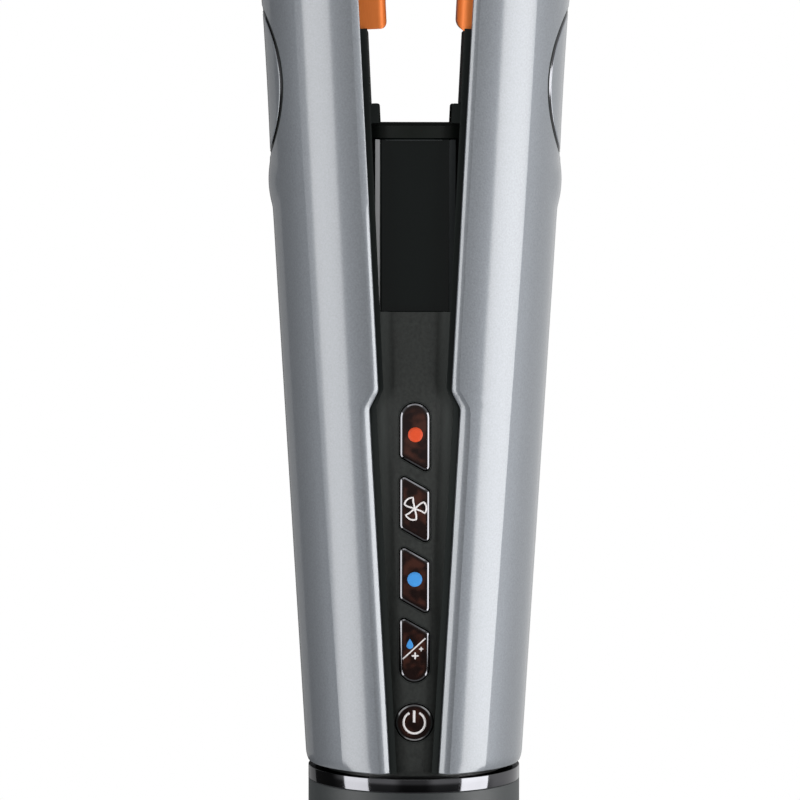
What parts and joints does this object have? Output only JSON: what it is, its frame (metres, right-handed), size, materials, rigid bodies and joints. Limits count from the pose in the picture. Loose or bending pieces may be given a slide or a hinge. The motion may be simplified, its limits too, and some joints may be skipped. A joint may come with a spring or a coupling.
{
  "type": "airflow hair straightener",
  "caption": "Slim hand-held hair straightener with two long sprung arms, copper-coloured heated plates, a front key panel and a round motor base.",
  "frame": {"origin": "centre of the flat foot of the base", "axes": "+Z along the length towards the tips, -Y towards the front with the keys, +X to the right seen from the front"},
  "size_m": [0.07, 0.0456, 0.3168],
  "materials": {
    "silver_paint": "satin metallic paint with a fine fleck",
    "rest_satin": "satin metallic paint",
    "bright_chrome": "polished",
    "base_plastic": "fine matt",
    "black_plastic": "satin black",
    "panel_plastic": "fine matt",
    "window_gloss": "piano black",
    "key_gloss": "glossy dark brown",
    "power_gloss": "glossy black with a bright ring",
    "plate_copper": "copper-coloured anodised",
    "soft_rubber": "matt",
    "plain_steel": "plain",
    "filter_steel": "fine mesh",
    "fan_plastic": "moulded",
    "circuit_board": "solder mask",
    "heater_mica": "mica and ceramic"
  },
  "bodies": {
    "frame": {"end_cap": "base_plastic", "cord_gland": "soft_rubber", "core_tube": "black_plastic", "handle_sleeve": "base_plastic", "chrome_ring": "bright_chrome", "motor_mount": "soft_rubber", "motor_can": "plain_steel", "power_board": "circuit_board", "chassis": "black_plastic", "air_heater": "heater_mica", "spine_cap": "black_plastic", "front_panel": "panel_plastic", "display_window": "window_gloss", "display_module": "black_plastic", "control_board": "circuit_board", "key_switches": "plain_steel", "rear_cover": "panel_plastic", "frame_screws": "plain_steel", "left_hinge_pin": "plain_steel", "right_hinge_pin": "plain_steel", "left_return_spring": "plain_steel", "right_return_spring": "plain_steel"},
    "filter": {"filter_cage": "base_plastic", "filter_mesh": "filter_steel"},
    "fan": {"impeller": "fan_plastic"},
    "lock": {"arm_lock": "black_plastic"},
    "heat_key": {"heat_key": "key_gloss"},
    "fan_key": {"fan_key": "key_gloss"},
    "cool_key": {"cool_key": "key_gloss"},
    "mode_key": {"mode_key": "key_gloss"},
    "power_key": {"power_key": "power_gloss"},
    "left_arm": {"left_shell": "silver_paint", "left_liner": "black_plastic", "left_finger_rest": "rest_satin", "left_rest_trim": "bright_chrome", "left_tip_cap": "black_plastic", "left_plate_springs": "plain_steel"},
    "left_plate": {"left_plate": "plate_copper", "left_plate_heater": "heater_mica"},
    "right_arm": {"right_shell": "silver_paint", "right_liner": "black_plastic", "right_finger_rest": "rest_satin", "right_rest_trim": "bright_chrome", "right_tip_cap": "black_plastic", "right_plate_springs": "plain_steel"},
    "right_plate": {"right_plate": "plate_copper", "right_plate_heater": "heater_mica"}
  },
  "joints": [
    {"name": "left_arm_close", "type": "hinge", "parent": "frame", "child": "left_arm", "pos_m": [-0.009, 0, 0.07], "axis": [0, 1, 0], "range_deg": [0, 2.77], "stiffness_Nm_per_rad": 2, "springref_deg": -11.46, "deforming": ["left_return_spring"]},
    {"name": "right_arm_close", "type": "hinge", "parent": "frame", "child": "right_arm", "pos_m": [0.009, 0, 0.07], "axis": [0, -1, 0], "range_deg": [0, 2.77], "stiffness_Nm_per_rad": 2, "springref_deg": -11.46, "deforming": ["right_return_spring"]},
    {"name": "left_plate_float", "type": "slide", "parent": "left_arm", "child": "left_plate", "axis": [-0.9988, 0, -0.0483], "range_m": [0, 0.001], "stiffness_N_per_m": 3000, "springref_m": -0.001, "deforming": ["left_plate_springs"]},
    {"name": "right_plate_float", "type": "slide", "parent": "right_arm", "child": "right_plate", "axis": [0.9988, 0, -0.0483], "range_m": [0, 0.001], "stiffness_N_per_m": 3000, "springref_m": -0.001, "deforming": ["right_plate_springs"]},
    {"name": "heat_key_press", "type": "slide", "parent": "frame", "child": "heat_key", "axis": [0, 1, 0], "range_m": [0, 0.0005], "stiffness_N_per_m": 1500, "springref_m": -0.0004},
    {"name": "fan_key_press", "type": "slide", "parent": "frame", "child": "fan_key", "axis": [0, 1, 0], "range_m": [0, 0.0005], "stiffness_N_per_m": 1500, "springref_m": -0.0004},
    {"name": "cool_key_press", "type": "slide", "parent": "frame", "child": "cool_key", "axis": [0, 1, 0], "range_m": [0, 0.0005], "stiffness_N_per_m": 1500, "springref_m": -0.0004},
    {"name": "mode_key_press", "type": "slide", "parent": "frame", "child": "mode_key", "axis": [0, 1, 0], "range_m": [0, 0.0005], "stiffness_N_per_m": 1500, "springref_m": -0.0004},
    {"name": "power_key_press", "type": "slide", "parent": "frame", "child": "power_key", "axis": [0, 1, 0], "range_m": [0, 0.0005], "stiffness_N_per_m": 1500, "springref_m": -0.0004},
    {"name": "arm_lock_slide", "type": "slide", "parent": "frame", "child": "lock", "axis": [0, 0, 1], "range_m": [0, 0.004]},
    {"name": "fan_spin", "type": "hinge", "parent": "frame", "child": "fan", "pos_m": [0, 0, 0.05], "axis": [0, 0, 1], "continuous": true},
    {"name": "filter_twist", "type": "hinge", "parent": "frame", "child": "filter", "pos_m": [0, 0, 0.02], "axis": [0, 0, 1], "range_deg": [0, 20]}
  ]
}
